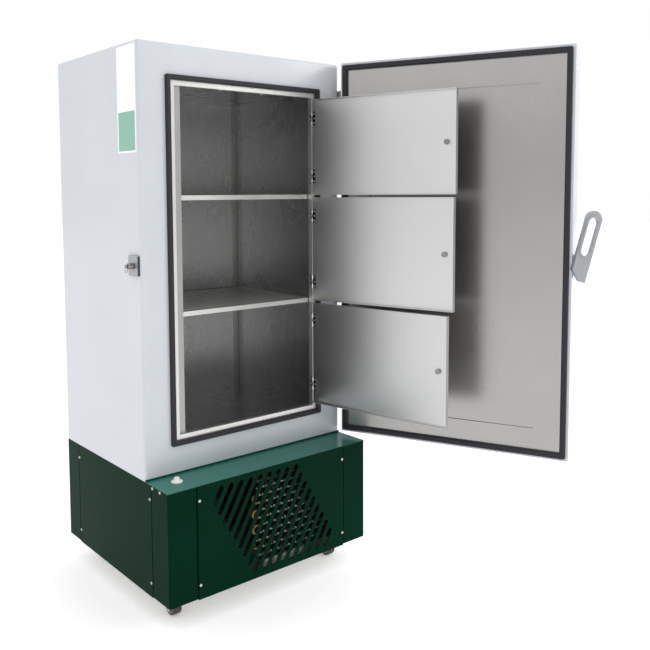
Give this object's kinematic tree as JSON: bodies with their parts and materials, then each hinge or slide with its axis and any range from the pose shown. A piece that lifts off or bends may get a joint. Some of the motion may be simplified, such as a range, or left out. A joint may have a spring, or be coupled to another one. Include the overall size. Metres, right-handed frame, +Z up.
{
  "type": "ultra low temperature freezer",
  "caption": "Tall insulated upright freezer, door open, with inner doors over shelved compartments, a swinging latch lever and a slotted machine base on casters.",
  "frame": {"origin": "on the floor under the middle of the machine base's footprint", "axes": "+Z up, -Y the front that the door closes, +X to the right of a person facing the front"},
  "size_m": [1.2321, 1.3923, 1.776],
  "materials": {
    "white_paint": "smooth powder coat",
    "green_paint": "glossy dark green powder coat",
    "stainless": "fine brushed sheet",
    "zinc": "plain zinc plated sheet",
    "foam": "cut polyurethane foam",
    "gasket_rubber": "matt extruded rubber",
    "grommet_rubber": "matt moulded rubber",
    "chrome": "polished plating",
    "lever_grey": "satin die casting",
    "fin_aluminium": "bare rolled sheet",
    "copper": "drawn copper tube",
    "black_paint": "semi gloss black",
    "dark_plastic": "fine grained moulding",
    "grey_plastic": "fine grained moulding",
    "window_plastic": "clear faced display window",
    "white_plastic": "turned nylon",
    "tyre": "moulded tread"
  },
  "bodies": {
    "cabinet": {"outer_shell": "white_paint", "insulation": "foam", "inner_liner": "stainless", "breaker_strips": "stainless", "catch_strip": "stainless", "cabinet_gasket": "gasket_rubber", "shelf_lower": "stainless", "shelf_upper": "stainless", "shelf_supports": "stainless", "inner_hinge_fixed_leaves": "stainless", "cabinet_hinge_leaves": "zinc", "lock_strike": "lever_grey", "lock_barrel": "chrome", "corner_posts": "green_paint", "base_pan": "zinc", "upper_frame": "zinc", "ledge_cover": "green_paint", "door_rest": "white_plastic", "front_grille": "green_paint", "left_panel": "green_paint", "right_panel": "green_paint", "rear_panel": "green_paint", "supply_inlet": "dark_plastic", "panel_screws": "zinc", "condenser_fins": "fin_aluminium", "condenser_tube": "copper", "fan_shroud": "zinc", "fan_motor": "black_paint", "compressors": "black_paint", "compressor_grommets": "grommet_rubber", "electrical_box": "zinc", "filter_drier": "copper", "caster_plates": "zinc"},
    "door": {"door_skin": "white_paint", "door_core": "foam", "door_liner": "stainless", "door_gasket": "gasket_rubber", "door_hinge_leaves": "zinc", "control_bezel": "grey_plastic", "control_window": "window_plastic", "control_keypad": "dark_plastic", "latch_bracket": "white_paint"},
    "latch": {"latch_handle": "lever_grey"},
    "key": {"lock_key": "chrome"},
    "ring": {"key_ring": "chrome"},
    "fan": {"fan_blade": "dark_plastic"},
    "inner_lower": {"inner_door_lower": "stainless", "inner_fittings_lower": "stainless"},
    "inner_middle": {"inner_door_middle": "stainless", "inner_fittings_middle": "stainless"},
    "inner_upper": {"inner_door_upper": "stainless", "inner_fittings_upper": "stainless"},
    "fork_front_left": {"caster_fork_front_left": "zinc"},
    "wheel_front_left": {"caster_wheel_front_left": "tyre"},
    "fork_front_right": {"caster_fork_front_right": "zinc"},
    "wheel_front_right": {"caster_wheel_front_right": "tyre"},
    "fork_rear_left": {"caster_fork_rear_left": "zinc"},
    "wheel_rear_left": {"caster_wheel_rear_left": "tyre"},
    "fork_rear_right": {"caster_fork_rear_right": "zinc"},
    "wheel_rear_right": {"caster_wheel_rear_right": "tyre"}
  },
  "joints": [
    {"name": "door_hinge", "type": "hinge", "parent": "cabinet", "child": "door", "pos_m": [0.398, -0.248, 1.106], "axis": [0, 0, 1], "range_deg": [-113.8, 26.2]},
    {"name": "latch_pivot", "type": "hinge", "parent": "door", "child": "latch", "pos_m": [0.73209, -0.98242, 1.089], "axis": [0, 0, 1], "range_deg": [0, 40]},
    {"name": "inner_lower_hinge", "type": "hinge", "parent": "cabinet", "child": "inner_lower", "pos_m": [0.274, -0.2265, 1.1], "axis": [0, 0, 1], "range_deg": [-101.3, 23.4]},
    {"name": "inner_middle_hinge", "type": "hinge", "parent": "cabinet", "child": "inner_middle", "pos_m": [0.274, -0.2265, 1.1], "axis": [0, 0, 1], "range_deg": [-105.4, 24.34]},
    {"name": "inner_upper_hinge", "type": "hinge", "parent": "cabinet", "child": "inner_upper", "pos_m": [0.274, -0.2265, 1.1], "axis": [0, 0, 1], "range_deg": [-106.8, 24.67]},
    {"name": "key_turn", "type": "hinge", "parent": "cabinet", "child": "key", "pos_m": [-0.43, -0.1945, 1.1025], "axis": [-1, 0, 0], "range_deg": [0, 90]},
    {"name": "ring_swing", "type": "hinge", "parent": "key", "child": "ring", "pos_m": [-0.434, -0.1945, 1.0997], "axis": [0, 1, 0], "range_deg": [-10, 75]},
    {"name": "fan_spin", "type": "hinge", "parent": "cabinet", "child": "fan", "pos_m": [0.115, -0.268, 0.2395], "axis": [0, 1, 0], "continuous": true},
    {"name": "swivel_front_left", "type": "hinge", "parent": "cabinet", "child": "fork_front_left", "pos_m": [-0.322, -0.2635, 0.07], "axis": [0, 0, 1], "continuous": true},
    {"name": "roll_front_left", "type": "hinge", "parent": "fork_front_left", "child": "wheel_front_left", "pos_m": [-0.322, -0.2455, 0.026], "axis": [1, 0, 0], "continuous": true},
    {"name": "swivel_front_right", "type": "hinge", "parent": "cabinet", "child": "fork_front_right", "pos_m": [0.322, -0.2635, 0.07], "axis": [0, 0, 1], "continuous": true},
    {"name": "roll_front_right", "type": "hinge", "parent": "fork_front_right", "child": "wheel_front_right", "pos_m": [0.322, -0.2455, 0.026], "axis": [1, 0, 0], "continuous": true},
    {"name": "swivel_rear_left", "type": "hinge", "parent": "cabinet", "child": "fork_rear_left", "pos_m": [-0.294, 0.2635, 0.07], "axis": [0, 0, 1], "continuous": true},
    {"name": "roll_rear_left", "type": "hinge", "parent": "fork_rear_left", "child": "wheel_rear_left", "pos_m": [-0.294, 0.2815, 0.026], "axis": [1, 0, 0], "continuous": true},
    {"name": "swivel_rear_right", "type": "hinge", "parent": "cabinet", "child": "fork_rear_right", "pos_m": [0.294, 0.2635, 0.07], "axis": [0, 0, 1], "continuous": true},
    {"name": "roll_rear_right", "type": "hinge", "parent": "fork_rear_right", "child": "wheel_rear_right", "pos_m": [0.294, 0.2815, 0.026], "axis": [1, 0, 0], "continuous": true}
  ],
  "couplings": [
    {"joint": "inner_lower_hinge", "follows": "door_hinge", "ratio": 0.88928},
    {"joint": "inner_middle_hinge", "follows": "door_hinge", "ratio": 0.92531},
    {"joint": "inner_upper_hinge", "follows": "door_hinge", "ratio": 0.93761}
  ]
}
